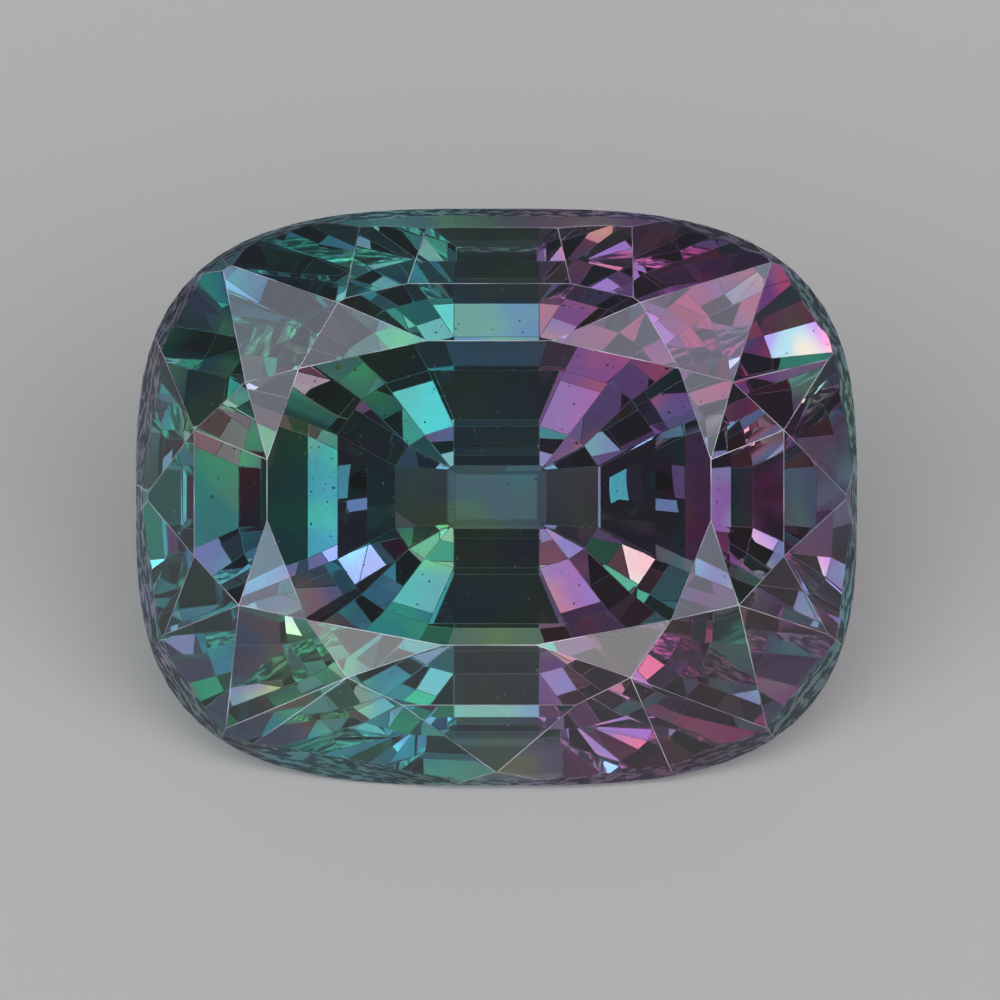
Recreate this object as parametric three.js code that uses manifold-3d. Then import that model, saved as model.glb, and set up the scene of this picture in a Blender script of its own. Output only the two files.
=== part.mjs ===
// A cushion-cut alexandrite: one faceted stone that lies on its near side, as a loose stone comes to rest.
// Millimetres, +Z up, +X along the stone's length. The origin is on the ground below the middle of the stone.
// It is cut upright first, with the culet at the origin and the table up, and is laid down at the end.
import * as THREE from "three";
import { mergeVertices } from "three/addons/utils/BufferGeometryUtils.js";
import Module from "manifold-3d";

const wasm = await Module();
wasm.setup();

// Outline: a superellipse, so a rectangle with bowed sides and full round corners
const halfLength = 8;
const halfWidth = 6.4;
const outlineSquareness = 3.2;
const outlineSteps = 96;

// Heights of the three parts of the stone
const pavilionDepth = 7;
const girdleHeight = 0.62;
const crownHeight = 2.2;
const girdleTop = pavilionDepth + girdleHeight;
const tableLevel = girdleTop + crownHeight;

// The girdle's upper edge is ground off to a narrow slope
const girdleSlopeHeight = 0.36;
const girdleSlopeInset = 0.22;

// The culet is a small flat rectangle with a shallow bevel round it
const culetHalfLength = 0.905;
const culetHalfWidth = 0.508;
const culetBevelWidth = 0.2;
const culetBevelTilt = 20;
const culetBevelHeight = culetBevelWidth * Math.tan(THREE.MathUtils.degToRad(culetBevelTilt));

// Rings where one row of pavilion facets ends and the next begins, from the culet up
const pavilionRings = [
  {
    level: culetBevelHeight,
    halfLength: culetHalfLength + culetBevelWidth,
    halfWidth: culetHalfWidth + culetBevelWidth,
    squareness: 14,
  },
  { level: 0.78, halfLength: 2.26, halfWidth: 1.58, squareness: 3 },
  { level: 2.08, halfLength: 3.54, halfWidth: 2.82, squareness: 3.2 },
  { level: pavilionDepth, halfLength, halfWidth, squareness: outlineSquareness },
];

// Directions of the pavilion's columns of facets in one quarter of the stone, in degrees from the end
const pavilionColumns = [0, 34, 56, 73, 90];

// The table was cut a little off the middle of the outline
const tableShift = { x: -0.166, y: 0.11 };

// The crown's meet points in plan, for the half towards +X. Those of the table are measured from its own
// middle, those at the girdle from the middle of the outline, with a third number where one lies off the
// girdle's upper edge. The far side is towards +Y, the near side towards -Y.
const farSide = {
  mainTilt: 28.1,
  starTilt: 20,
  cornerStarTilt: 19.5,
  tableOuter: [1.37, 3.34],
  tableCorner: [4.2, 2.73],
  tableEnd: [4.9, 0.72],
  starTipX: 3.34,
  cornerStarTip: [5.38, 2.43],
  endMeet: [6.52, 1.37],
  stepCorner: [1.8, 4.61],
  kiteTip: [6.1, 5.21],
  girdleEndMeet: [7.35, 3.05],
  girdleSideMeet: [3, 6.16],
};
const nearSide = {
  mainTilt: 33.8,
  starTilt: 23.8,
  cornerStarTilt: 16.1,
  tableOuter: [1.04, -3.38],
  tableCorner: [4.03, -2.82],
  tableEnd: [4.9, -0.62],
  starTipX: 3.13,
  cornerStarTip: [5.52, -2.5],
  endMeet: [6.52, -1.42],
  stepCorner: [1.92, -4.71],
  kiteTip: [6.0, -5.13],
  girdleEndMeet: [7.37, -3.05],
  girdleSideMeet: [3.6, -5.98, -0.2],
};
const endMainTilt = 28.3;
const farStepBreakX = 3.19;

// Middles of the crown's lower edge, and how far each lies above the girdle's upper edge
const endMiddle = { x: 7.8, rise: 0 };
const farMiddle = { y: 6.31, rise: 0.02 };
const nearMiddle = { y: -6.11, rise: 0.13 };

const radians = THREE.MathUtils.degToRad;

// A facet's plane through three points, facing up.
function facetThrough(a, b, c) {
  const plane = new THREE.Plane().setFromCoplanarPoints(a, b, c);
  return plane.normal.z < 0 ? plane.negate() : plane;
}

// A facet's plane that falls away outwards from a level edge, at a tilt in degrees.
function facetFromEdge(a, b, tilt) {
  const along = b.clone().sub(a).normalize();
  const outward = new THREE.Vector3(along.y, -along.x, 0);
  if (outward.dot(a) < 0) outward.negate();
  const normal = outward.multiplyScalar(Math.sin(radians(tilt)));
  normal.z = Math.cos(radians(tilt));
  return new THREE.Plane().setFromNormalAndCoplanarPoint(normal, a);
}

// The point of a facet over a place in plan.
function pointOn(facet, { x, y }) {
  const { normal, constant } = facet;
  return new THREE.Vector3(x, y, -(constant + normal.x * x + normal.y * y) / normal.z);
}

// The point at a given x on the line where two facets meet.
function meetAtX(first, second, x) {
  const cut = new THREE.Plane(new THREE.Vector3(1, 0, 0), -x);
  const rows = [first, second, cut].map((plane) => plane.normal.toArray());
  const matrix = new THREE.Matrix3().set(...rows.flat()).invert();
  return new THREE.Vector3(-first.constant, -second.constant, x).applyMatrix3(matrix);
}

// Places in plan on one end of the stone: end is 1 towards +X and -1 towards -X.
const tablePlace = (end, x) => end * x + tableShift.x;
const fromTable = (end, [x, y]) => new THREE.Vector3(tablePlace(end, x), y + tableShift.y, tableLevel);
const atGirdle = (end, [x, y, rise = 0]) => new THREE.Vector3(end * x, y, girdleTop + rise);

// A main falls from a long edge of the table, from one end to the other.
function sideMain(side) {
  return facetFromEdge(fromTable(1, side.tableOuter), fromTable(-1, side.tableOuter), side.mainTilt);
}

// An end main falls from a short edge of the table.
function endMain(end) {
  return facetFromEdge(fromTable(end, farSide.tableEnd), fromTable(end, nearSide.tableEnd), endMainTilt);
}

// A quarter of the crown: stars by the table, a kite at the corner, and the breaks down to the girdle.
function crownQuarter(side, end) {
  const outer = fromTable(end, side.tableOuter);
  const corner = fromTable(end, side.tableCorner);
  const tableEnd = fromTable(end, side.tableEnd);
  const star = facetFromEdge(outer, corner, side.starTilt);
  const cornerStar = facetFromEdge(corner, tableEnd, side.cornerStarTilt);
  const starTip = meetAtX(star, sideMain(side), tablePlace(end, side.starTipX));
  const cornerStarTip = pointOn(cornerStar, fromTable(end, side.cornerStarTip));
  const kite = facetThrough(corner, starTip, cornerStarTip);
  const kiteTip = pointOn(kite, atGirdle(end, side.kiteTip));
  const endMeet = pointOn(endMain(end), fromTable(end, side.endMeet));
  const girdleEnd = atGirdle(end, side.girdleEndMeet);
  const girdleSide = atGirdle(end, side.girdleSideMeet);
  const endBreak = facetThrough(tableEnd, cornerStarTip, endMeet);
  const lowerBreak = facetThrough(cornerStarTip, endMeet, girdleEnd);
  const endGirdle = facetThrough(endMeet, endMiddlePoint(end), girdleEnd);
  const cornerGirdle = facetThrough(cornerStarTip, kiteTip, girdleEnd);
  const sideGirdle = facetThrough(kiteTip, starTip, girdleSide);
  const facets = [star, cornerStar, kite, endBreak, lowerBreak, endGirdle, cornerGirdle, sideGirdle];
  return { facets, starTip, endMeet, sideGirdle, girdleSide };
}

const endMiddlePoint = (end) => new THREE.Vector3(end * endMiddle.x, 0, girdleTop + endMiddle.rise);
const sideMiddlePoint = ({ y, rise }) => new THREE.Vector3(0, y, girdleTop + rise);
const stepCorner = (side, end) => pointOn(sideMain(side), fromTable(end, side.stepCorner));

// One end of the crown, with the triangle under its main and the facets beside the steps of both long sides.
function crownEnd(end) {
  const far = crownQuarter(farSide, end);
  const near = crownQuarter(nearSide, end);
  const triangle = facetThrough(far.endMeet, near.endMeet, endMiddlePoint(end));
  const breakX = tablePlace(end, farStepBreakX);
  const farBreak = meetAtX(sideMain(farSide), far.sideGirdle, breakX);
  const farStepEnd = facetThrough(farBreak, stepCorner(farSide, end), far.girdleSide);
  const nearStepEnd = facetThrough(near.starTip, stepCorner(nearSide, end), sideMiddlePoint(nearMiddle));
  return [endMain(end), triangle, farStepEnd, nearStepEnd, ...far.facets, ...near.facets];
}

// Under a side's main: a broad step on the far side, and a triangle that points at the girdle on the near.
function stepUnderMain(side, middle) {
  return facetThrough(stepCorner(side, 1), stepCorner(side, -1), sideMiddlePoint(middle));
}

function crownFacets() {
  const sides = [sideMain(farSide), sideMain(nearSide)];
  const steps = [stepUnderMain(farSide, farMiddle), stepUnderMain(nearSide, nearMiddle)];
  return [...sides, ...steps, ...crownEnd(1), ...crownEnd(-1)];
}

// How far a ring reaches in a direction: the distance of its upright tangent plane from the stone's axis.
function reach(ring, angle) {
  const power = ring.squareness / (ring.squareness - 1);
  const alongX = (ring.halfLength * Math.abs(Math.cos(angle))) ** power;
  const alongY = (ring.halfWidth * Math.abs(Math.sin(angle))) ** power;
  return (alongX + alongY) ** (1 / power);
}

// A facet between a lower, smaller ring and an upper, larger one, facing down and out.
function pavilionFacet(lower, upper, angle) {
  const inner = reach(lower, angle);
  const rise = upper.level - lower.level;
  const run = reach(upper, angle) - inner;
  const outward = new THREE.Vector3(Math.cos(angle), Math.sin(angle), 0);
  const normal = outward.clone().multiplyScalar(rise).setZ(-run).normalize();
  const foot = outward.multiplyScalar(inner).setZ(lower.level);
  return new THREE.Plane().setFromNormalAndCoplanarPoint(normal, foot);
}

// Three rows of sixteen facets between the culet's bevel and the girdle.
function pavilionFacets() {
  const quarter = pavilionColumns.map(radians);
  const half = [...quarter, ...quarter.slice(0, -1).map((angle) => Math.PI - angle)];
  const inner = half.filter((angle) => angle > 0 && angle < Math.PI);
  const angles = [...half, ...inner.map((angle) => -angle)];
  const rows = pavilionRings.slice(1).map((upper, row) => [pavilionRings[row], upper]);
  return rows.flatMap(([lower, upper]) => angles.map((angle) => pavilionFacet(lower, upper, angle)));
}

// The culet's bevel falls away from each of its four edges.
function culetBevels() {
  const ends = [0, Math.PI].map((angle) => [angle, culetHalfLength]);
  const sides = [Math.PI / 2, -Math.PI / 2].map((angle) => [angle, culetHalfWidth]);
  const tilt = radians(culetBevelTilt);
  return [...ends, ...sides].map(([angle, distance]) => {
    const outward = new THREE.Vector3(Math.cos(angle), Math.sin(angle), 0);
    const normal = outward.clone().multiplyScalar(Math.sin(tilt)).setZ(-Math.cos(tilt));
    return new THREE.Plane().setFromNormalAndCoplanarPoint(normal, outward.multiplyScalar(distance));
  });
}

// Points of the girdle's outline, closer together round the corners.
function outlinePoint(step) {
  const angle = (step / outlineSteps) * 2 * Math.PI;
  const x = Math.abs(Math.cos(angle) / halfLength) ** outlineSquareness;
  const y = Math.abs(Math.sin(angle) / halfWidth) ** outlineSquareness;
  const radius = (x + y) ** (-1 / outlineSquareness);
  return new THREE.Vector2(radius * Math.cos(angle), radius * Math.sin(angle));
}

// The girdle's narrow slope, one plane along each side of the outline.
function girdleSlope(outline) {
  const foot = girdleTop - girdleSlopeHeight;
  return outline.map((point, index) => {
    const next = outline[(index + 1) % outline.length];
    const side = next.clone().sub(point).normalize();
    const normal = new THREE.Vector3(side.y, -side.x, 0).multiplyScalar(girdleSlopeHeight);
    normal.setZ(girdleSlopeInset).normalize();
    return new THREE.Plane().setFromNormalAndCoplanarPoint(normal, new THREE.Vector3(point.x, point.y, foot));
  });
}

// A three.js geometry as a solid that can be cut.
function solidFrom(geometry) {
  geometry.deleteAttribute("normal");
  geometry.deleteAttribute("uv");
  const merged = mergeVertices(geometry);
  const vertProperties = new Float32Array(merged.attributes.position.array);
  const triVerts = new Uint32Array(merged.index.array);
  return new wasm.Manifold(new wasm.Mesh({ numProp: 3, vertProperties, triVerts }));
}

// Everything outside a facet's plane, as a block that is wider than the stone.
function wasteOutside(facet) {
  const size = 4 * halfLength;
  const block = new THREE.BoxGeometry(size, size, size).translate(0, 0, size / 2);
  const up = new THREE.Vector3(0, 0, 1);
  const turn = new THREE.Quaternion().setFromUnitVectors(up, facet.normal);
  const middle = new THREE.Vector3(0, 0, girdleTop);
  const onFacet = facet.projectPoint(middle, new THREE.Vector3());
  block.applyQuaternion(turn).translate(onFacet.x, onFacet.y, onFacet.z);
  return solidFrom(block);
}

// The blank is the outline as high as the whole stone, and each facet is ground off it in turn.
function stoneSolid() {
  const outline = Array.from({ length: outlineSteps }, (_, step) => outlinePoint(step));
  const shape = new THREE.Shape(outline);
  const blank = new THREE.ExtrudeGeometry(shape, { depth: tableLevel, bevelEnabled: false });
  const facets = [...girdleSlope(outline), ...crownFacets(), ...pavilionFacets(), ...culetBevels()];
  return facets.reduce((stone, facet) => stone.subtract(wasteOutside(facet)), solidFrom(blank));
}

// The cut solid's faces as a geometry, with a normal for each flat face.
function geometryFrom(solid) {
  const { vertProperties, triVerts } = solid.getMesh();
  const geometry = new THREE.BufferGeometry();
  geometry.setAttribute("position", new THREE.BufferAttribute(vertProperties, 3));
  geometry.setIndex(new THREE.BufferAttribute(triVerts, 1));
  const faceted = geometry.toNonIndexed();
  faceted.computeVertexNormals();
  return faceted;
}

// The turn about the stone's length that brings the near side's upper pavilion facet level with the ground.
function restTurn() {
  const [lower, upper] = pavilionRings.slice(-2);
  return Math.atan2(upper.level - lower.level, upper.halfWidth - lower.halfWidth);
}

// Lays the stone on that facet, with the middle of its bounding box over the origin.
function laidDown(geometry) {
  geometry.rotateX(restTurn());
  geometry.computeBoundingBox();
  const middle = geometry.boundingBox.getCenter(new THREE.Vector3());
  return geometry.translate(-middle.x, -middle.y, -geometry.boundingBox.min.z);
}

// Polished stone: deep blue-green that turns purple towards one end, so a neutral slate on the whole.
function alexandrite() {
  const material = new THREE.MeshStandardMaterial({ color: 0x2f4450, roughness: 0.05, metalness: 0 });
  const stone = new THREE.Mesh(laidDown(geometryFrom(stoneSolid())), material);
  stone.name = "alexandrite";
  return stone;
}

const part = new THREE.Group();
part.add(alexandrite());

export default part;
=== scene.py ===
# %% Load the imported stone
import math
import bpy
import bmesh
import random
from mathutils import Matrix, Vector
from mathutils.bvhtree import BVHTree


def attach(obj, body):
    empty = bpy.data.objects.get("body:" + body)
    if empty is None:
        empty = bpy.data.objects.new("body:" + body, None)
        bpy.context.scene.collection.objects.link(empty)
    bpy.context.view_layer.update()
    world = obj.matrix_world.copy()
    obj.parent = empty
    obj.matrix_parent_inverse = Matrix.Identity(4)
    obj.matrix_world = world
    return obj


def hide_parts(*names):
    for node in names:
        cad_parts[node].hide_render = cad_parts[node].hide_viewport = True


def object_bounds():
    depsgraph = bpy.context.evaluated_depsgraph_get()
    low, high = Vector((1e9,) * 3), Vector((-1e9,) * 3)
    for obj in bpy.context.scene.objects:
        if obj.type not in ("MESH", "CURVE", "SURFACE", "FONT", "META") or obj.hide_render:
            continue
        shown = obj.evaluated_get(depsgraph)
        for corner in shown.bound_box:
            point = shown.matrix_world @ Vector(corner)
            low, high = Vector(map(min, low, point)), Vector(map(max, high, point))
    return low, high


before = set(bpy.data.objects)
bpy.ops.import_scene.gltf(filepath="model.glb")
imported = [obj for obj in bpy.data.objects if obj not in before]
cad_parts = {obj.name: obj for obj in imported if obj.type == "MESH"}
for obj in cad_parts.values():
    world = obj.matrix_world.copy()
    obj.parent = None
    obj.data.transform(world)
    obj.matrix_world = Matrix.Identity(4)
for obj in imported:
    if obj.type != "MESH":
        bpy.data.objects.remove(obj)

cad_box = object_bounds()
MM = 0.001
low, high = (Vector(corner) for corner in cad_box)
length, width, height = high - low
print("box in mm:", [round(size / MM, 2) for size in (length, width, height)])

# %% [markdown]
# The stone is one crystal with flat, polished facets. Its facets could be traced again in
# Blender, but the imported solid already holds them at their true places. So the finish starts from
# a copy of that solid: its triangles are merged back into whole facets, because a gem's edges
# show only where two facets meet.

# %% Whole facets from the solid's triangles
stone_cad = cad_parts["alexandrite"]
WELD = 0.002 * MM
SAME_FACET = math.radians(0.25)

facets = bmesh.new()
facets.from_mesh(stone_cad.data)
bmesh.ops.remove_doubles(facets, verts=facets.verts, dist=WELD)
bmesh.ops.dissolve_limit(facets, angle_limit=SAME_FACET, verts=facets.verts, edges=facets.edges)
print("facets:", len(facets.faces), "edges:", len(facets.edges))

# %% [markdown]
# The table is the big flat facet on top of the cut, and a gem is looked at straight through it.
# Its direction could be typed in, but it is read from the solid instead, as the facet with the
# largest area, so it is always true. The lamps and the camera are placed from this direction, and
# so are the girdle and the inclusions.

# %% Which way the table faces
RIGHT = Vector((1, 0, 0))
table = max(facets.faces, key=lambda facet: facet.calc_area())
table_out = table.normal.copy()
table_up = table_out.cross(RIGHT).normalized()
table_level = table.calc_center_median().dot(table_out)
heights = [vertex.co.dot(table_up) for vertex in facets.verts]
outline_middle = table_up * (min(heights) + max(heights)) / 2 + table_out * table_level
table_turn = math.acos(table_out.z)
print("the table leans", round(math.degrees(table_turn), 2), "degrees")
print("middle of the outline in mm:", outline_middle / MM)


def from_table(azimuth, polar):
    """A direction in degrees: azimuth 0 is right, 90 is up the picture, polar 0 the camera."""
    a, p = math.radians(azimuth), math.radians(polar)
    level = RIGHT * math.cos(a) + table_up * math.sin(a)
    return level * math.sin(p) + table_out * math.cos(p)


# %% [markdown]
# The girdle is the rim between the crown and the pavilion, where a setting grips the stone. On
# this stone the facets are polished and the girdle is only ground, so it is a soft dark band, and
# the bright streaks on it are painted glints. The band could be a second object, but it is the
# same crystal, so its faces are only marked here, and the material makes the marked ones rough.

# %% Faces of the girdle
WALL_LEAN = 0.05
SLOPE_LEAN = (0.5, 0.54)
GIRDLE_REACH = 1.1 * MM
walls = [face for face in facets.faces if abs(face.normal.dot(table_out)) < WALL_LEAN]
wall_levels = [vertex.co.dot(table_out) for face in walls for vertex in face.verts]
wall_foot, wall_top = min(wall_levels), max(wall_levels)
girdle_level = (wall_foot + wall_top) / 2
ground = facets.faces.layers.float.new("ground")
for face in facets.faces:
    lean = face.normal.dot(table_out)
    top = max(vertex.co.dot(table_out) for vertex in face.verts)
    is_slope = SLOPE_LEAN[0] < lean < SLOPE_LEAN[1] and top < girdle_level + GIRDLE_REACH
    if abs(lean) < WALL_LEAN or is_slope:
        face[ground] = 1
ground_faces = [face for face in facets.faces if face[ground]]
ground_area = sum(face.calc_area() for face in ground_faces) / MM**2
print("ground faces:", len(ground_faces), "area in square mm:", round(ground_area, 1))

# %% [markdown]
# A real facet edge is never a perfect line. Polishing leaves it a few hundredths of a millimetre
# wide, and this narrow strip catches the lamps: it is the fine bright line round every facet of
# the crown. A bevel of that width gives the line as real geometry, so it glints from every side.
# The strip is a little worn, so it is marked as partly ground, and on the crown, where things rub
# against a stone, it gets a paler finish of its own: partly wear, and partly a painted highlight
# that brightens the line. Edges between facets that are nearly level with each other get none,
# because they hardly show.

# %% Narrow polished edges
EDGE_WIDTH = 0.018 * MM
SHORTEST_EDGE = 4 * EDGE_WIDTH
SOFT_EDGE = math.radians(3.0)
EDGE_WEAR = 0.7
joints = [edge for edge in facets.edges if len(edge.link_faces) == 2]
sharp = [edge for edge in joints if edge.calc_face_angle() > SOFT_EDGE]
sharp = [edge for edge in sharp if edge.calc_length() > SHORTEST_EDGE]
edge_strips = bmesh.ops.bevel(
    facets, geom=sharp, offset=EDGE_WIDTH, offset_type="WIDTH",
    segments=1, affect="EDGES", profile=0.5,
)["faces"]
CROWN_START = girdle_level + 0.05 * MM
# the crown's strips get the worn finish, whose pale colour is partly a painted highlight
CLEAR_FINISH, WORN_AND_HIGHLIGHT_FINISH = 0, 1
for strip in edge_strips:
    strip[ground] = EDGE_WEAR
    if strip.calc_center_median().dot(table_out) > CROWN_START:
        strip.material_index = WORN_AND_HIGHLIGHT_FINISH
bmesh.ops.recalc_face_normals(facets, faces=facets.faces)
print("faces with polished edges:", len(facets.faces))

stone_mesh = bpy.data.meshes.new("polished_stone")
facets.to_mesh(stone_mesh)
surface = BVHTree.FromBMesh(facets)
facets.free()
stone = bpy.data.objects.new("polished_stone", stone_mesh)
bpy.context.collection.objects.link(stone)
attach(stone, "root")
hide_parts("alexandrite")

# %% [markdown]
# Every finish below is made of a few shader nodes, and each needs the same small steps: blend two
# values, blend two colours, do a sum, read a noise. Nodes could be placed and wired one by one,
# but the same ten lines would come again and again. So each step is a helper that adds its node
# and gives back the socket to go on with.

# %% Helpers for the finishes
def stepped(nodes, links, value, low_value, high_value, low_result, high_result):
    """A smooth step from one result to another as a value rises."""
    step = nodes.new("ShaderNodeMapRange")
    step.interpolation_type = "SMOOTHSTEP"
    step.inputs["From Min"].default_value = low_value
    step.inputs["From Max"].default_value = high_value
    step.inputs["To Min"].default_value = low_result
    step.inputs["To Max"].default_value = high_result
    links.new(value, step.inputs["Value"])
    return step.outputs[0]


def mixed(nodes, links, factor, first, second):
    """A colour between two others; each is a socket or a fixed colour."""
    mix = nodes.new("ShaderNodeMix")
    mix.data_type = "RGBA"
    links.new(factor, mix.inputs["Factor"])
    for name, colour in (("A", first), ("B", second)):
        if isinstance(colour, tuple):
            mix.inputs[name].default_value = colour
        else:
            links.new(colour, mix.inputs[name])
    return mix.outputs["Result"]


def calculated(nodes, links, operation, first, second=0.0):
    """Arithmetic on two values; each is a socket or a fixed number."""
    result = nodes.new("ShaderNodeMath")
    result.operation = operation
    for socket, value in zip(result.inputs, (first, second)):
        if isinstance(value, float):
            socket.default_value = value
        else:
            links.new(value, socket)
    return result.outputs[0]


def noise(nodes, links, place, scale, detail):
    """A cloudy value between 0 and 1; the scale is in clouds per metre."""
    texture = nodes.new("ShaderNodeTexNoise")
    texture.inputs["Scale"].default_value = scale
    texture.inputs["Detail"].default_value = detail
    links.new(place, texture.inputs["Vector"])
    return texture.outputs["Fac"]


def component(nodes, links, direction, axis):
    """How far a direction points along an axis, from -1 to 1."""
    product = nodes.new("ShaderNodeVectorMath")
    product.operation = "DOT_PRODUCT"
    product.inputs[1].default_value = axis
    links.new(direction, product.inputs[0])
    return product.outputs["Value"]


def chosen(nodes, links, factor, first, second):
    """One value or the other."""
    choice = nodes.new("ShaderNodeMix")
    links.new(factor, choice.inputs["Factor"])
    links.new(first, choice.inputs["A"])
    links.new(second, choice.inputs["B"])
    return choice.outputs["Result"]


# %% [markdown]
# The stone's surface tint is blue-green at one end and purple at the other, with slate between.
# The green and the purple are painted light: daylight colour at one end and lamplight colour at
# the other, the two colours an alexandrite takes under the two kinds of lamp. Soft clouds shift
# the tint towards yellow-green and blue, as uneven growth does in a real crystal. The colour could
# sit in the volume, but a viewer can't show a volume that changes from place to place, so it is
# the tint of the surface that light passes through.

# %% Colour zones: painted daylight and lamplight, with clouds
# the green and purple ends are painted daylight and lamplight colour
PAINTED_DAYLIGHT_GREEN = (0.07, 0.53, 0.41, 1)
SLATE_MIDDLE = (0.28, 0.40, 0.50, 1)
PAINTED_LAMPLIGHT_PURPLE = (0.60, 0.08, 0.30, 1)
YELLOW_GREEN = (0.45, 0.72, 0.20, 1)
SEA_BLUE = (0.12, 0.52, 0.68, 1)
ZONE_REACH = 0.3 * length
CLOUD_SCALE = 330
CLOUD_REACH = (-0.25 * length, 0.4 * length)
CLOUD_SHARE = (0.95, 0.4)
YELLOW_CLOUDS = (0.54, 0.66)
BLUE_CLOUDS = (0.47, 0.36)


def painted_lamp_tints_and_clouds(nodes, links, place):
    """Painted daylight green to painted lamplight purple along the stone, with clouds of
    yellow-green and blue.
    """
    along = component(nodes, links, place, RIGHT)
    to_slate = stepped(nodes, links, along, -ZONE_REACH, 0, 0, 1)
    to_purple = stepped(nodes, links, along, 0, ZONE_REACH, 0, 1)
    green_to_slate = mixed(nodes, links, to_slate, PAINTED_DAYLIGHT_GREEN, SLATE_MIDDLE)
    # the turn to purple paints lamplight colour over the daylight green
    lamp_tinted = mixed(nodes, links, to_purple, green_to_slate, PAINTED_LAMPLIGHT_PURPLE)
    share = stepped(nodes, links, along, *CLOUD_REACH, *CLOUD_SHARE)
    clouds = noise(nodes, links, place, CLOUD_SCALE, 2)
    yellow_clouds = stepped(nodes, links, clouds, *YELLOW_CLOUDS, 0, 1)
    blue_clouds = stepped(nodes, links, clouds, *BLUE_CLOUDS, 0, 1)
    yellow = calculated(nodes, links, "MULTIPLY", yellow_clouds, share)
    blue = calculated(nodes, links, "MULTIPLY", blue_clouds, share)
    with_yellow = mixed(nodes, links, yellow, lamp_tinted, YELLOW_GREEN)
    return mixed(nodes, links, blue, with_yellow, SEA_BLUE)


print("the colour turns within", round(ZONE_REACH / MM, 1), "mm of the middle")

# %% [markdown]
# The ground rim is a narrow band along the girdle. It reaches a little way up the facets above
# the wall, and its border wavers where the grinding stopped. Bright streaks run along it: painted
# glints in its colour, where an open, ground surface scatters light. The band could be cut out as
# its own faces, but facets cross it at many angles, so the finish finds it by height instead: a
# steep facet is ground further up than a flat one, and the band looks even.

# %% Ground rim with painted glints
RIM_WIDE = 0.15 * MM
RIM_SOFT = 0.05 * MM
RIM_WAVER = 0.04 * MM
LEAST_LEAN = 0.2
WAVER_SCALE = 1800
WAVER_RANGE = (0.3, 0.7)
GLINTS_ROUND = 20.0
GLINT_HEIGHT = 0.07 * MM
RIM_DARK = (0.02, 0.05, 0.07, 1)
# the pale streak colour is a painted glint
RIM_PAINTED_GLINT = (0.95, 1.0, 1.0, 1)
GLINT_EDGES = (0.48, 0.56)


def rim_mask(nodes, links, place):
    """One on the ground rim, which is equally wide on every facet that starts at the girdle."""
    level = component(nodes, links, place, table_out)
    # light inside the stone meets a facet from behind, so the sign of its direction is dropped
    normal = nodes.new("ShaderNodeNewGeometry").outputs["True Normal"]
    facing = calculated(nodes, links, "ABSOLUTE", component(nodes, links, normal, table_out))
    lean = calculated(nodes, links, "MAXIMUM", facing, LEAST_LEAN)
    angle = calculated(nodes, links, "ARCCOSINE", lean)
    steepness = calculated(nodes, links, "TANGENT", angle)
    reach = calculated(nodes, links, "MULTIPLY", steepness, RIM_WIDE)
    clouds = noise(nodes, links, place, WAVER_SCALE, 3)
    waver = stepped(nodes, links, clouds, *WAVER_RANGE, -RIM_WAVER, RIM_WAVER)
    wavered = calculated(nodes, links, "ADD", level, waver)
    over = calculated(nodes, links, "SUBTRACT", wavered, reach)
    under_top = stepped(nodes, links, over, wall_top, wall_top + RIM_SOFT, 1, 0)
    over_foot = stepped(nodes, links, level, wall_foot - RIM_SOFT, wall_foot, 0, 1)
    return calculated(nodes, links, "MULTIPLY", under_top, over_foot)


def rim_colour_with_painted_glints(nodes, links, place):
    """Dark, with painted glints as bright streaks along the girdle, where the grinding left the
    surface open.
    """
    up = component(nodes, links, place, table_up)
    across = component(nodes, links, place, RIGHT)
    from_middle = calculated(nodes, links, "SUBTRACT", up, outline_middle.dot(table_up))
    angle = calculated(nodes, links, "ARCTAN2", from_middle, across)
    level = component(nodes, links, place, table_out)
    unrolled = nodes.new("ShaderNodeCombineXYZ")
    links.new(calculated(nodes, links, "MULTIPLY", angle, GLINTS_ROUND), unrolled.inputs["X"])
    links.new(calculated(nodes, links, "DIVIDE", level, GLINT_HEIGHT), unrolled.inputs["Y"])
    glint_clouds = noise(nodes, links, unrolled.outputs[0], 1.0, 3)
    # painted glints: streaks of pale colour along the girdle
    painted_glint = stepped(nodes, links, glint_clouds, *GLINT_EDGES, 0, 1)
    return mixed(nodes, links, painted_glint, RIM_DARK, RIM_PAINTED_GLINT)


print("the wall's lowest and highest points are", round((wall_top - wall_foot) / MM, 2), "mm apart")

# %% [markdown]
# Alexandrite is clear, with an index of refraction of 1.75, so it bends and returns light far
# more than glass does. Glass-like finishes could be mixed by hand, but the Principled shader does
# it with its transmission at one and its IOR set on the socket, and viewers understand that. The
# volume's plain absorption darkens the long paths inside. Where the stone is ground or worn, the
# surface is rough and grainy.

# %% Clear finish of the stone
REFRACTION = 1.75
ABSORBED_TINT = (0.55, 0.62, 0.66, 1)
ABSORPTION = 110
GROUND_ROUGHNESS = 0.38
GRAIN_SCALE = 9000
GRAIN_DEPTH = 0.03 * MM
GRAIN_STRENGTH = 0.7


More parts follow.
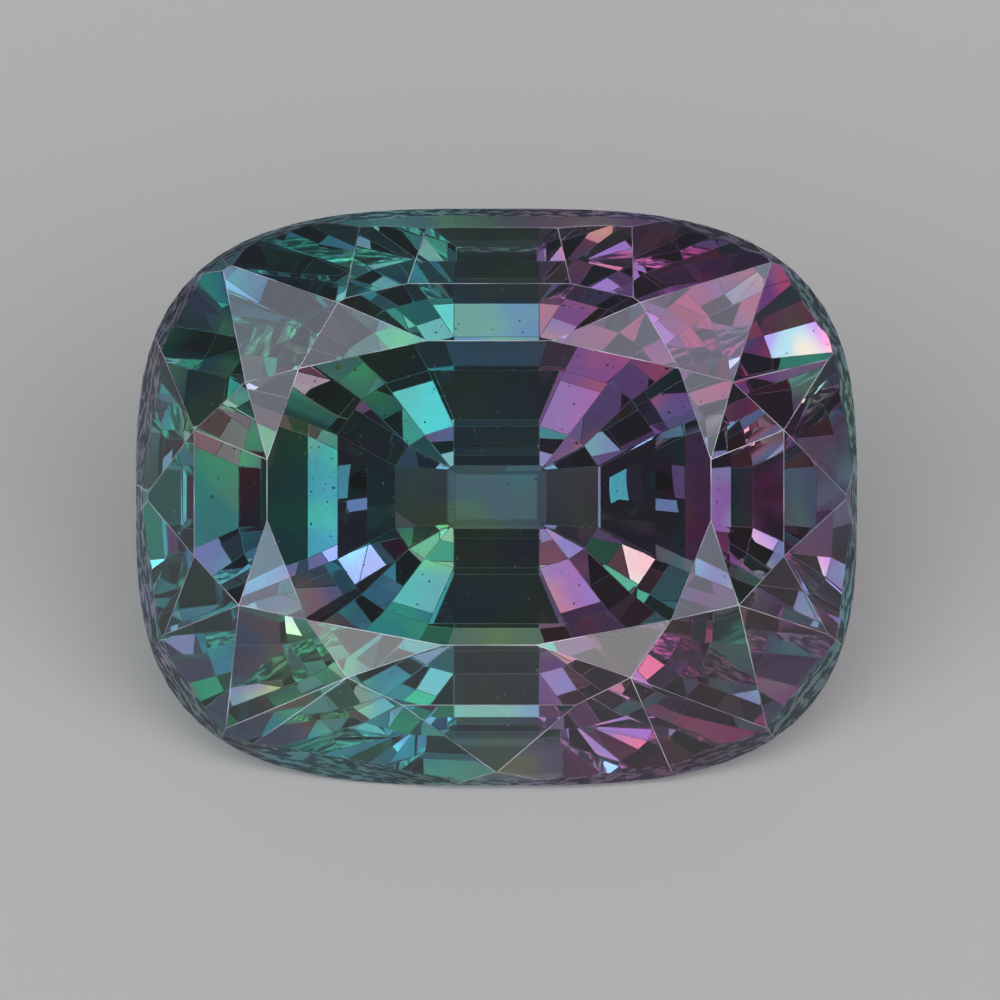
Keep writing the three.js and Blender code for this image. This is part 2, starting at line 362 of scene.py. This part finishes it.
def stone_material():
    """Clear and polished, and rough where the ground attribute or the rim says so."""
    material = bpy.data.materials.new("alexandrite")
    material.use_nodes = True
    nodes, links = material.node_tree.nodes, material.node_tree.links
    shader = nodes["Principled BSDF"]
    shader.inputs["IOR"].default_value = REFRACTION
    shader.inputs["Transmission Weight"].default_value = 1.0
    place = nodes.new("ShaderNodeTexCoord").outputs["Object"]
    marked = nodes.new("ShaderNodeAttribute")
    marked.attribute_name = "ground"
    rim = rim_mask(nodes, links, place)
    rough = calculated(nodes, links, "MAXIMUM", marked.outputs["Fac"], rim)
    # painted daylight and lamplight tints, and the rim's painted glints, go into the base colour
    lamp_tints_and_clouds, ground_colour_with_painted_glints = painted_lamp_tints_and_clouds(nodes, links, place), rim_colour_with_painted_glints(nodes, links, place)
    links.new(mixed(nodes, links, rim, lamp_tints_and_clouds, ground_colour_with_painted_glints), shader.inputs["Base Color"])
    links.new(stepped(nodes, links, rough, 0, 1, 0, GROUND_ROUGHNESS), shader.inputs["Roughness"])
    bump = nodes.new("ShaderNodeBump")
    bump.inputs["Distance"].default_value = GRAIN_DEPTH
    links.new(stepped(nodes, links, rough, 0, 1, 0, GRAIN_STRENGTH), bump.inputs["Strength"])
    links.new(noise(nodes, links, place, GRAIN_SCALE, 3), bump.inputs["Height"])
    links.new(bump.outputs[0], shader.inputs["Normal"])
    absorb = nodes.new("ShaderNodeVolumeAbsorption")
    absorb.inputs["Color"].default_value = ABSORBED_TINT
    absorb.inputs["Density"].default_value = ABSORPTION
    links.new(absorb.outputs[0], nodes["Material Output"].inputs["Volume"])
    return material


stone_mesh.materials.append(stone_material())
print("refraction:", REFRACTION, "absorption per metre:", ABSORPTION)

# %% [markdown]
# On the crown the facet edges are rubbed pale, because that side touches things, and their pale
# colour is also a painted highlight that brightens the fine lines. A painted line could stand for
# them, but the strips are real faces, so they only need a finish: less clear, rougher, and lighter
# in some places than in others, as rubbing is never even.

# %% Worn edges of the crown, with a painted highlight
WEAR_AND_HIGHLIGHT_SCALE = 700
WEAR_AND_HIGHLIGHT_RANGE = (0.38, 0.66)
WORN_CLEARNESS = 0.7
WORN_ROUGHNESS = 0.4
RUBBED = (0.22, 0.22, 0.26, 1)
# the pale colour of the edges is a painted highlight
PAINTED_EDGE_HIGHLIGHT = (0.85, 0.80, 0.88, 1)


def worn_edge_and_painted_highlight_material():
    """The pale line of a rubbed facet edge on the crown: partly wear, partly a painted highlight.
    """
    material = bpy.data.materials.new("rubbed_edge_painted_highlight")
    material.use_nodes = True
    nodes, links = material.node_tree.nodes, material.node_tree.links
    shader = nodes["Principled BSDF"]
    shader.inputs["IOR"].default_value = REFRACTION
    shader.inputs["Transmission Weight"].default_value = WORN_CLEARNESS
    shader.inputs["Roughness"].default_value = WORN_ROUGHNESS
    place = nodes.new("ShaderNodeTexCoord").outputs["Object"]
    wear_and_highlight_clouds = noise(nodes, links, place, WEAR_AND_HIGHLIGHT_SCALE, 2)
    worn_and_highlit = stepped(nodes, links, wear_and_highlight_clouds, *WEAR_AND_HIGHLIGHT_RANGE, 0, 1)
    # rubbed colour blended with a painted highlight
    links.new(mixed(nodes, links, worn_and_highlit, RUBBED, PAINTED_EDGE_HIGHLIGHT), shader.inputs["Base Color"])
    return material


stone_mesh.materials.append(worn_edge_and_painted_highlight_material())
worn_and_highlight_strips = [face for face in stone_mesh.polygons if face.material_index == WORN_AND_HIGHLIGHT_FINISH]
print("worn strips:", len(worn_and_highlight_strips))

# %% [markdown]
# Natural stones hold small guests: crystals and needles that were caught while they grew. In the
# photo most lie at the green end, and a few under the lower crown. They could be painted as dots,
# but then they would not repeat in the facets as real ones do. So each is a tiny faceted grain
# inside the stone, at its true size, and the facets show it again and again.

# %% Small crystals inside the stone
SPECKS = [
    # across and up from the middle, depth under the facet above, and size, in millimetres
    (-6.1, 0.0, 0.9, 0.10), (-3.6, 0.2, 1.2, 0.07), (-3.3, -0.3, 1.6, 0.09),
    (-3.5, 2.9, 0.6, 0.13), (-2.9, -5.1, 0.8, 0.10), (-4.1, -0.6, 2.1, 0.06),
    (0.2, -4.2, 0.7, 0.09), (0.9, -3.6, 1.0, 0.08), (-4.6, -4.0, 1.1, 0.08),
    (-5.4, 3.1, 0.9, 0.07), (4.9, -1.7, 1.3, 0.06), (3.2, 3.9, 1.0, 0.06),
]
MICROMETRE = 1e-6
DUST = 220
# the dust's middle, spread and limit, across and up from the middle, in millimetres
DUST_MIDDLE = (-2.2, 0)
DUST_SPREAD = (3.2, 2.8)
DUST_EDGE = (7.2, 5.6)
GROUP_SPREAD = 0.16 * MM
scatter = random.Random(7)


def grain(mesh, middle, size):
    """One small crystal: a squared-off ball, drawn out along a chance direction."""
    along = Vector([scatter.uniform(-1, 1) for _ in range(3)]).normalized()
    drawn = scatter.uniform(1.0, 2.6)
    corners = bmesh.ops.create_icosphere(mesh, subdivisions=1, radius=size / 2)["verts"]
    for corner in corners:
        corner.co *= scatter.uniform(0.75, 1.15)
        corner.co += along * corner.co.dot(along) * (drawn - 1)
        corner.co += middle


def under_facet(across, up, depth):
    """The point that lies a depth under the facet seen at this place."""
    start = outline_middle + RIGHT * across + table_up * up + table_out * height
    hit = surface.ray_cast(start, -table_out)[0]
    return hit - table_out * depth


guests = bmesh.new()
for across, up, depth, size in SPECKS:
    middle = under_facet(across * MM, up * MM, depth * MM)
    grain(guests, middle, size * MM)
    for _ in range(3):
        near = Vector([scatter.gauss(0, GROUP_SPREAD) for _ in range(3)])
        grain(guests, middle + near, size * scatter.uniform(0.15, 0.35) * MM)
for _ in range(DUST):
    across = scatter.gauss(DUST_MIDDLE[0], DUST_SPREAD[0])
    up = scatter.gauss(DUST_MIDDLE[1], DUST_SPREAD[1])
    if (across / DUST_EDGE[0]) ** 2 + (up / DUST_EDGE[1]) ** 2 < 1:
        middle = under_facet(across * MM, up * MM, scatter.uniform(0.2, 1.5) * MM)
        grain(guests, middle, scatter.uniform(18, 48) * MICROMETRE)
guest_mesh = bpy.data.meshes.new("inclusions")
guests.to_mesh(guest_mesh)
guests.free()
inclusions = bpy.data.objects.new("inclusions", guest_mesh)
bpy.context.collection.objects.link(inclusions)
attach(inclusions, "root")
print("inclusions:", len(SPECKS), "groups and dust,", len(guest_mesh.polygons), "faces")


GUEST_SCALE = 6000
GUEST_PALE = (0.9, 0.95, 0.85, 1)
GUEST_DULL = (0.45, 0.55, 0.5, 1)


def guest_material():
    """Pale and a little uneven, as small crystals of another mineral are."""
    material = bpy.data.materials.new("pale_guest_crystal")
    material.use_nodes = True
    nodes, links = material.node_tree.nodes, material.node_tree.links
    shader = nodes["Principled BSDF"]
    place = nodes.new("ShaderNodeTexCoord").outputs["Object"]
    shade = noise(nodes, links, place, GUEST_SCALE, 2)
    links.new(mixed(nodes, links, shade, GUEST_PALE, GUEST_DULL), shader.inputs["Base Color"])
    links.new(stepped(nodes, links, shade, 0.3, 0.7, 0.15, 0.5), shader.inputs["Roughness"])
    return material


guest_mesh.materials.append(guest_material())

# %% [markdown]
# The stone lies on pale paper. A black ground as in the photo would hide the outline, so the
# paper is plain and light. It is a flat sheet, a hair below the lowest facet.

# %% Floor
HALF_FLOOR = 0.6
FLOOR_GAP = 0.02 * MM
PAPER = (0.75, 0.75, 0.76, 1)
corners = [(-1, -1), (1, -1), (1, 1), (-1, 1)]
floor_mesh = bpy.data.meshes.new("floor")
sheet = [(x * HALF_FLOOR, y * HALF_FLOOR, 0) for x, y in corners]
floor_mesh.from_pydata(sheet, [], [(0, 1, 2, 3)])
floor = bpy.data.objects.new("floor", floor_mesh)
bpy.context.collection.objects.link(floor)
floor.location.z = low.z - FLOOR_GAP
paper = bpy.data.materials.new("pale_paper")
paper.use_nodes = True
paper_shader = paper.node_tree.nodes["Principled BSDF"]
paper_shader.inputs["Base Color"].default_value = PAPER
paper_shader.inputs["Roughness"].default_value = 0.8
floor_mesh.materials.append(paper)
print("the paper lies", round(FLOOR_GAP / MM, 2), "mm under the stone")

# %% [markdown]
# Each facet of a cut stone is a small mirror that shows one place in the room, so the lamps
# decide which facets are light. Every lamp is placed by the direction, seen from the table, in
# which it stands. The kites and stars of the crown mirror white softboxes. Alexandrite looks
# green by daylight and purple by lamplight, so one side of the stone gets daylight lamps and the
# other warm ones. Ten small strong lamps give the white flashes that move over a stone as it
# turns. A photographer shades lamps with card, so that each does one job, and a setting does the
# same here: the side cards are seen only mirrored on the crown, and the strong lamps only through
# the stone. All of them light only the stone, and the tent further down lights the paper, so its
# colour stays plain.

# %% Lights
LIGHT_DISTANCE = 0.35
stone_only = bpy.data.collections.new("stone_only")
stone_only.objects.link(stone)
stone_only.objects.link(inclusions)


def softbox(name, azimuth, polar, wide, tall, radiance, colour):
    """A flat lamp that faces the stone: wide runs round it, tall runs away from the camera."""
    light = bpy.data.lights.new(name, "AREA")
    light.shape = "RECTANGLE"
    light.size, light.size_y = wide, tall
    light.energy = radiance * math.pi * wide * tall
    light.color = colour
    lamp = bpy.data.objects.new(name, light)
    direction = from_table(azimuth, polar)
    outwards = from_table(azimuth, polar + 90)
    sideways = outwards.cross(direction)
    lamp.matrix_world = Matrix((sideways, outwards, direction)).transposed().to_4x4()
    lamp.location = outline_middle + direction * LIGHT_DISTANCE
    lamp.light_linking.receiver_collection = stone_only
    bpy.context.collection.objects.link(lamp)
    return lamp


SKY = (0.6, 0.82, 1.0)
LAVENDER = (0.80, 0.82, 1.0)
COOL_WHITE = (0.7, 1.0, 0.97)
WARM_WHITE = (1.0, 0.75, 0.92)
MINT = (0.35, 1.0, 0.7)
ROSE = (1.0, 0.3, 0.6)
LENS_TEAL = (0.3, 1.0, 0.85)
RING_TEAL = (0.3, 1.0, 0.9)
LENS_ROSE = (1.0, 0.3, 0.7)
SPARK_SIZE = 0.026
SPARK_RADIANCE = 6.5
SPARKS = [
    # azimuth and polar angle
    (60, 40), (81, 32), (20, 60), (-60, 24), (8, 80),
    (117, 44), (100, 25), (160, 62), (-115, 27), (172, 80),
]
softbox("upper_right_box", 52, 72.5, 0.13, 0.13, 1.9, LAVENDER)
softbox("upper_left_box", 128, 72.5, 0.13, 0.13, 1.7, LAVENDER)
softbox("overhead_box", 90, 40, 0.16, 0.05, 2.1, LAVENDER)
softbox("high_sky_box", 90, 77, 0.12, 0.045, 1.7, SKY)
softbox("lens_sky_lamp", 90, 6.2, 0.026, 0.018, 2.2, SKY)
for azimuth in (-20, 19, 161, 200):
    side_card = softbox(f"side_card_{azimuth}", azimuth, 35.5, 0.045, 0.085, 2.1, LAVENDER)
    side_card.visible_transmission = False
softbox("daylight_box", 0, 34, 0.07, 0.16, 3.2, MINT)
softbox("lamp_box", 180, 34, 0.07, 0.16, 3.2, ROSE)
for number, (azimuth, polar) in enumerate(SPARKS):
    tone = COOL_WHITE if abs(azimuth) < 90 else WARM_WHITE
    name = f"spark_{number}"
    spark = softbox(name, azimuth, polar, SPARK_SIZE, SPARK_SIZE, SPARK_RADIANCE, tone)
    spark.visible_glossy = False
softbox("lens_daylight", 180, 3.0, 0.05, 0.012, 2.2, LENS_TEAL)
softbox("ring_daylight", 180, 11.2, 0.06, 0.018, 2.6, RING_TEAL)
softbox("lens_lamplight", 0, 3.0, 0.05, 0.012, 1.0, LENS_ROSE)
print("lamps that light only the stone:", len(bpy.data.lights))

# %% [markdown]
# The crown's lower stars face the paper in front of the stone, and would show it grey. A small
# lit card that lies there, out of the picture, gives them the same light as the upper ones. It
# faces up, so it lights nothing else.

# %% Lit card in front
CARD_WIDE, CARD_DEEP = 30 * MM, 16 * MM
CARD_PLACE = Vector((0, -27, 0.5)) * MM
CARD_RADIANCE = 2.3
card = bpy.data.lights.new("front_card", "AREA")
card.shape = "RECTANGLE"
card.size, card.size_y = CARD_WIDE, CARD_DEEP
card.energy = CARD_RADIANCE * math.pi * card.size * card.size_y
front_card = bpy.data.objects.new("front_card", card)
front_card.location = CARD_PLACE
front_card.rotation_euler = (math.pi, 0, 0)
bpy.context.collection.objects.link(front_card)
print("the card's middle is", round(-CARD_PLACE.y / MM, 1), "mm in front of the stone's middle")

# %% [markdown]
# The culet is the small flat facet at the bottom of the cut. Seen through the table it is the
# bluish window in the middle, brighter than the dark facets round it. What shows in it is the
# shade behind the stone, so a tiny lamp stands there. Its beam is narrow and comes straight
# through the culet, and the sloping facets beside it miss it.

# %% Lamp behind the culet
CULET_LAMP_WIDE = 2.0 * MM
CULET_LAMP_TALL = 1.15 * MM
CULET_LAMP_GAP = 1.0 * MM
CULET_LAMP_ENERGY = 1.5e-7
CULET_BEAM = math.radians(50)
culet_level = min(vertex.co.dot(table_out) for vertex in stone_mesh.vertices)
culet_corners = [
    vertex.co for vertex in stone_mesh.vertices if vertex.co.dot(table_out) < culet_level + WELD
]
culet_middle = sum(culet_corners, Vector()) / len(culet_corners)
glow = bpy.data.lights.new("culet_lamp", "AREA")
glow.shape = "RECTANGLE"
glow.size, glow.size_y = CULET_LAMP_WIDE, CULET_LAMP_TALL
glow.spread = CULET_BEAM
glow.energy = CULET_LAMP_ENERGY
glow.color = COOL_WHITE
culet_lamp = bpy.data.objects.new("culet_lamp", glow)
culet_lamp.matrix_world = Matrix((RIGHT, -table_up, -table_out)).transposed().to_4x4()
culet_lamp.location = culet_middle - table_out * CULET_LAMP_GAP
culet_lamp.light_linking.receiver_collection = stone_only
culet_lamp.visible_camera = False
bpy.context.collection.objects.link(culet_lamp)
print("culet middle in mm:", culet_middle / MM)

# %% [markdown]
# Everything else round the stone is a tent of thin white cloth, the usual way to photograph gems.
# It is brightest in a ring, and dim round the camera, because an even tent makes a cut stone look
# flat. Its folds break the light up into the many flashes of the outer facets. Light that has
# gone through the stone meets the tent as daylight on one side and lamplight on the other. The
# paper is lit in plain white, mostly from the front, so the stone shades the paper behind it. The
# facets that mirror the tent meet it dimmed, as in the photo, where the room was dark.

# %% Tent
TENT_RADIANCE = 0.75
TENT_DIM_RADIANCE = 0.13
DAYLIGHT = (0.18, 1.0, 0.80, 1)
LAMPLIGHT = (1.0, 0.24, 0.60, 1)
WHITE = (1, 1, 1, 1)
FOLD_SCALE = 3.2
EVEN_RADIANCE = 0.5
FRONT_RADIANCE = 3.2
BACK_RADIANCE = 0.09
MIRRORED_RADIANCE = 0.14
FOLD_RANGE = (0.44, 0.62)
FOLD_RADIANCE = (0.07 * TENT_RADIANCE, 2.9 * TENT_RADIANCE)
OUTER_SHARE = 0.35
LENS_SHARE = 0.1
FRONT_TO_BACK = (-0.85, -0.2)
# where each part of the tent begins and ends, in degrees from the camera
OUTER_EDGE, INNER_EDGE, LENS_EDGE = (75, 58), (30, 15), (3, 2)
NEAR_LENS, BAND_OUTSIDE, BAND_INSIDE = (6.5, 4.5), (29, 27), (16, 14)


def cosines(angles):
    """The cosines of a pair of angles, to compare with how far a direction points at the camera."""
    return [math.cos(math.radians(angle)) for angle in angles]


def tent_strength(nodes, links, direction, cosine):
    """A folded bright ring, a dim even middle, and a dark hole for the lens."""
    outer = stepped(nodes, links, cosine, *cosines(OUTER_EDGE), OUTER_SHARE, 1)
    inner = stepped(nodes, links, cosine, *cosines(INNER_EDGE), 1, 0)
    clouds = noise(nodes, links, direction, FOLD_SCALE, 3)
    folds = stepped(nodes, links, clouds, *FOLD_RANGE, *FOLD_RADIANCE)
    shape = calculated(nodes, links, "MULTIPLY", outer, inner)
    ring = calculated(nodes, links, "MULTIPLY", shape, folds)
    middle = stepped(nodes, links, cosine, *cosines(INNER_EDGE), 0.02, TENT_DIM_RADIANCE)
    lens = stepped(nodes, links, cosine, *cosines(LENS_EDGE), 1, LENS_SHARE)
    ring_and_middle = calculated(nodes, links, "ADD", ring, middle)
    return calculated(nodes, links, "MULTIPLY", ring_and_middle, lens)


def side_tint(nodes, links, direction, cosine):
    """Lamplight left and daylight right, and the other way round where the end facets look."""
    across = component(nodes, links, direction, RIGHT)
    slow_turn = stepped(nodes, links, across, -0.35, 0.35, 0, 1)
    quick_turn = stepped(nodes, links, across, -0.03, 0.03, 0, 1)
    wide_tint = mixed(nodes, links, slow_turn, LAMPLIGHT, DAYLIGHT)
    spot_tint = mixed(nodes, links, quick_turn, DAYLIGHT, LAMPLIGHT)
    near_lens = stepped(nodes, links, cosine, *cosines(NEAR_LENS), 0, 1)
    from_outside = stepped(nodes, links, cosine, *cosines(BAND_OUTSIDE), 0, 1)
    from_inside = stepped(nodes, links, cosine, *cosines(BAND_INSIDE), 1, 0)
    up = calculated(nodes, links, "ABSOLUTE", component(nodes, links, direction, table_up))
    level = stepped(nodes, links, up, 0.1, 0.18, 1, 0)
    band = calculated(nodes, links, "MULTIPLY", from_outside, from_inside)
    band_spot = calculated(nodes, links, "MULTIPLY", band, level)
    spot = calculated(nodes, links, "MAXIMUM", near_lens, band_spot)
    return mixed(nodes, links, spot, wide_tint, spot_tint)


def tent_world():
    """The tent as light that has passed the stone meets it, and plain or dimmed for other light."""
    world = bpy.data.worlds.new("tent")
    world.use_nodes = True
    nodes, links = world.node_tree.nodes, world.node_tree.links
    direction = nodes.new("ShaderNodeTexCoord").outputs["Generated"]
    cosine = component(nodes, links, direction, table_out)
    ray = nodes.new("ShaderNodeLightPath").outputs
    through = ray["Is Transmission Ray"]
    tint = side_tint(nodes, links, direction, cosine)
    links.new(mixed(nodes, links, through, WHITE, tint), nodes["Background"].inputs["Color"])
    mirrored = ray["Is Glossy Ray"]
    even_or_dim = stepped(nodes, links, mirrored, 0, 1, EVEN_RADIANCE, MIRRORED_RADIANCE)
    backwards = component(nodes, links, direction, Vector((0, 1, 0)))
    on_paper = stepped(nodes, links, backwards, *FRONT_TO_BACK, FRONT_RADIANCE, BACK_RADIANCE)
    unrefracted = chosen(nodes, links, ray["Is Diffuse Ray"], even_or_dim, on_paper)
    straight_to_eye = stepped(nodes, links, ray["Diffuse Depth"], 0, 1, 1, 0.1)
    tent = tent_strength(nodes, links, direction, cosine)
    folded = calculated(nodes, links, "MULTIPLY", tent, straight_to_eye)
    strength = chosen(nodes, links, through, unrefracted, folded)
    links.new(strength, nodes["Background"].inputs["Strength"])
    return world


bpy.context.scene.world = tent_world()
print("tent radiance:", TENT_DIM_RADIANCE, "near the camera,", FOLD_RADIANCE[1], "in the ring")

# %% [markdown]
# The camera stands straight over the table, as in the photo. It is far away with a long lens,
# because a gem seen from close by would lean its facets outwards. The frame is as wide as the
# photo's, in real size.

# %% Camera
FRAME_WIDTH = 22.07 * MM
CAMERA_DISTANCE = 0.5
SENSOR = 36
AIM_RIGHT, AIM_DOWN = 0.077 * MM, 0.066 * MM
camera = bpy.data.objects.new("camera", bpy.data.cameras.new("camera"))
camera.data.sensor_width = SENSOR
camera.data.lens = SENSOR * CAMERA_DISTANCE / FRAME_WIDTH
camera.data.clip_start = 0.01
aim = outline_middle + RIGHT * AIM_RIGHT - table_up * AIM_DOWN
camera.location = aim + table_out * CAMERA_DISTANCE
camera.rotation_euler = (table_turn, 0, 0)
bpy.context.collection.objects.link(camera)
print("focal length in mm:", round(camera.data.lens))

# %% [markdown]
# Light turns many times inside a stone before it comes out, so it is followed for up to 32 turns.
# With fewer, the deep facets go black too soon. The Standard view keeps the colours as they are,
# where a film look would grey them.

# %% How far light is followed
DEEPEST_PATH = 32
DEEPEST_MIRRORING = 16
scene = bpy.context.scene
scene.camera = camera
scene.cycles.max_bounces = DEEPEST_PATH
scene.cycles.transmission_bounces = DEEPEST_PATH
scene.cycles.glossy_bounces = DEEPEST_MIRRORING
scene.cycles.use_denoising = True
scene.view_settings.view_transform = "Standard"
print("light is followed for", DEEPEST_PATH, "turns")
